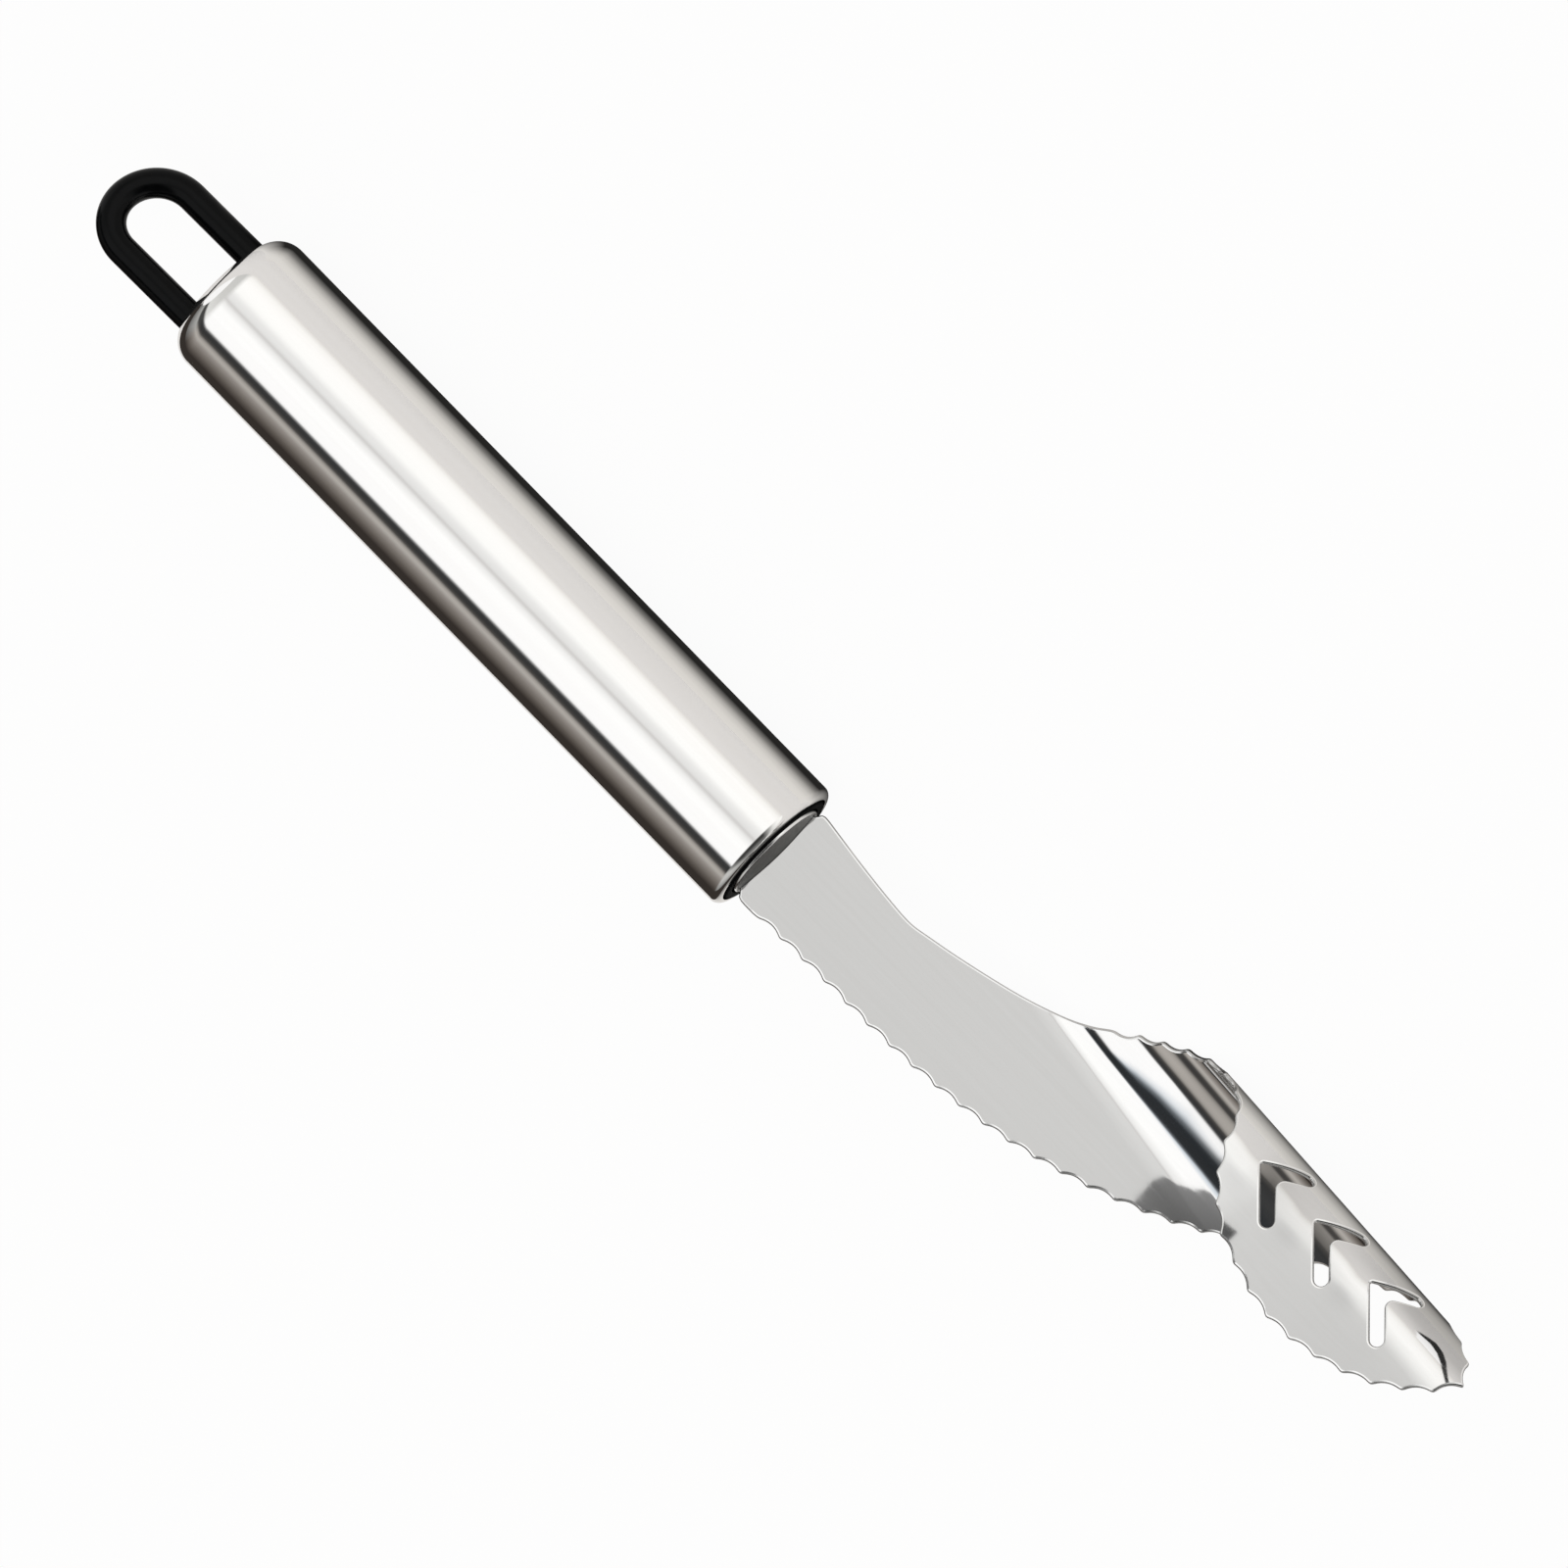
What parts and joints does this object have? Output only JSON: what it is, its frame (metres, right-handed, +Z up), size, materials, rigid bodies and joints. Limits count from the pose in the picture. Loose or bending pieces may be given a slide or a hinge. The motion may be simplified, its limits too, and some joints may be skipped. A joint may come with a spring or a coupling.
{
  "type": "chili pepper corer",
  "caption": "Kitchen hand tool that cores peppers: a scalloped steel blade rolled into a slotted scoop head, set in a polished tube handle with a hanging loop.",
  "frame": {"origin": "middle of the underside of the bounding box, on the table that the tool lies on", "axes": "+X along the handle towards the tip of the head, +Y to the side that the head leans to, +Z up with the tool lying on its handle and on the fold of its head"},
  "size_m": [0.2192, 0.0336, 0.0199],
  "materials": {
    "blade_steel": "polished stainless steel",
    "tube_steel": "mirror polished stainless steel",
    "disc_steel": "satin",
    "black_plastic": "satin black"
  },
  "bodies": {
    "root": {"blade": "blade_steel", "handle_tube": "tube_steel", "front_plug": "black_plastic", "front_disc": "disc_steel", "hanging_loop": "black_plastic", "loop_anchor": "black_plastic"}
  },
  "joints": []
}
